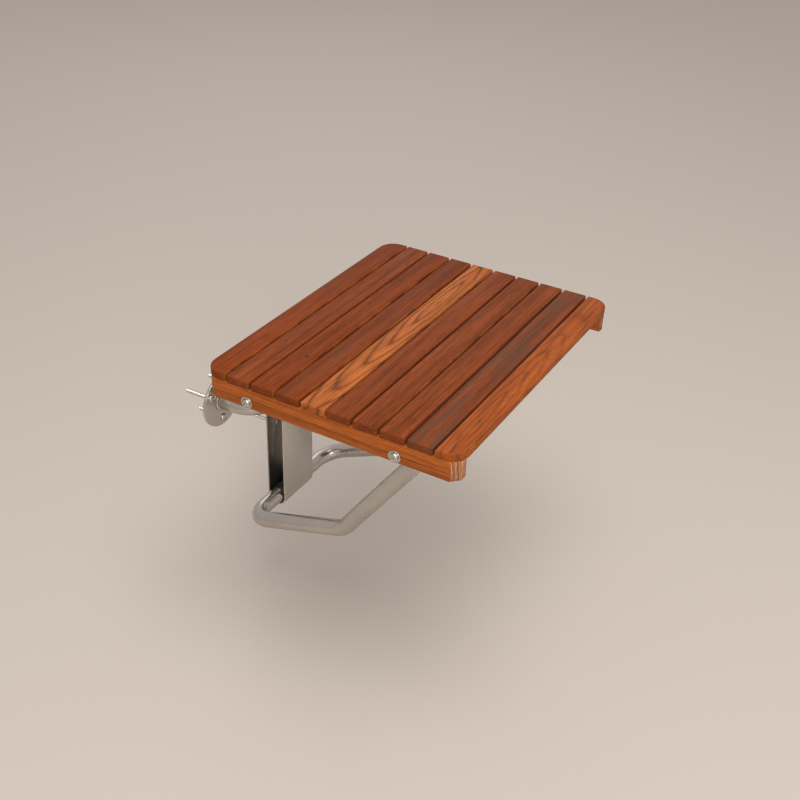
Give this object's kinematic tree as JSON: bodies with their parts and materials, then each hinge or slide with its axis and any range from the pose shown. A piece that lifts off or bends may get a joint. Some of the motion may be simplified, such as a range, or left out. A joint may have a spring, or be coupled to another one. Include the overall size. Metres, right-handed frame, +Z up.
{
  "type": "fold-up shower seat",
  "caption": "Wall-mounted fold-up shower seat: slatted teak deck hinged on a stainless tube bar, propped by a bent tube loop that slides in a wall guide.",
  "frame": {"origin": "on the wall, on the back face of the guide's back plate, midway between the two wall flanges and level with their centres", "axes": "+X along the wall, to the right of someone facing it; +Y into the wall; +Z up; the seat is stored folded down, sticking out towards -Y"},
  "size_m": [0.464, 0.4541, 0.3554],
  "materials": {
    "teak_dark": "oiled, dark red-brown",
    "teak_red": "oiled, red-brown",
    "teak_orange": "oiled, orange-brown",
    "teak_light": "oiled, light, with wide grain",
    "teak_rail": "oiled, orange-brown",
    "satin_stainless": "satin brushed",
    "weld_steel": "blended weld",
    "screw_steel": "bright",
    "black_nylon": "matt"
  },
  "bodies": {
    "wall_frame": {"wall_flange_left": "satin_stainless", "flange_screws_left": "screw_steel", "weld_bead_left": "weld_steel", "hinge_plate_left": "satin_stainless", "hinge_bush_left": "black_nylon", "wall_flange_right": "satin_stainless", "flange_screws_right": "screw_steel", "weld_bead_right": "weld_steel", "hinge_plate_right": "satin_stainless", "hinge_bush_right": "black_nylon", "wall_bar": "satin_stainless", "guide_back_plate": "satin_stainless", "guide_front_leaf": "satin_stainless", "guide_screws": "screw_steel"},
    "seat": {"slat_01": "teak_dark", "slat_02": "teak_orange", "slat_03": "teak_red", "slat_04": "teak_red", "slat_05": "teak_light", "slat_06": "teak_red", "slat_07": "teak_red", "slat_08": "teak_dark", "slat_09": "teak_dark", "slat_10": "teak_orange", "rail_left": "teak_rail", "rail_right": "teak_rail", "slat_screws": "screw_steel", "hinge_rod": "satin_stainless", "rail_screws": "screw_steel", "rail_washers": "screw_steel", "pivot_pad_left": "black_nylon", "pivot_pad_right": "black_nylon"},
    "slider": {"guide_sleeve": "black_nylon"},
    "prop": {"prop_loop": "satin_stainless", "prop_eye_left": "satin_stainless", "prop_eye_right": "satin_stainless"}
  },
  "joints": [
    {"name": "seat_fold", "type": "hinge", "parent": "wall_frame", "child": "seat", "pos_m": [0, -0.1143, 0.0814], "axis": [-1, 0, 0], "range_deg": [0, 88]},
    {"name": "guide_slide", "type": "slide", "parent": "wall_frame", "child": "slider", "axis": [0, 0, 1], "range_m": [0, 0.0961]},
    {"name": "prop_swing", "type": "hinge", "parent": "slider", "child": "prop", "pos_m": [0, -0.0153, -0.226], "axis": [-1, 0, 0], "range_deg": [0, 31.62]}
  ],
  "couplings": [
    {"joint": "guide_slide", "follows": "seat_fold", "m_per_rad": 0.062454},
    {"joint": "prop_swing", "follows": "seat_fold", "ratio": 0.35876}
  ]
}
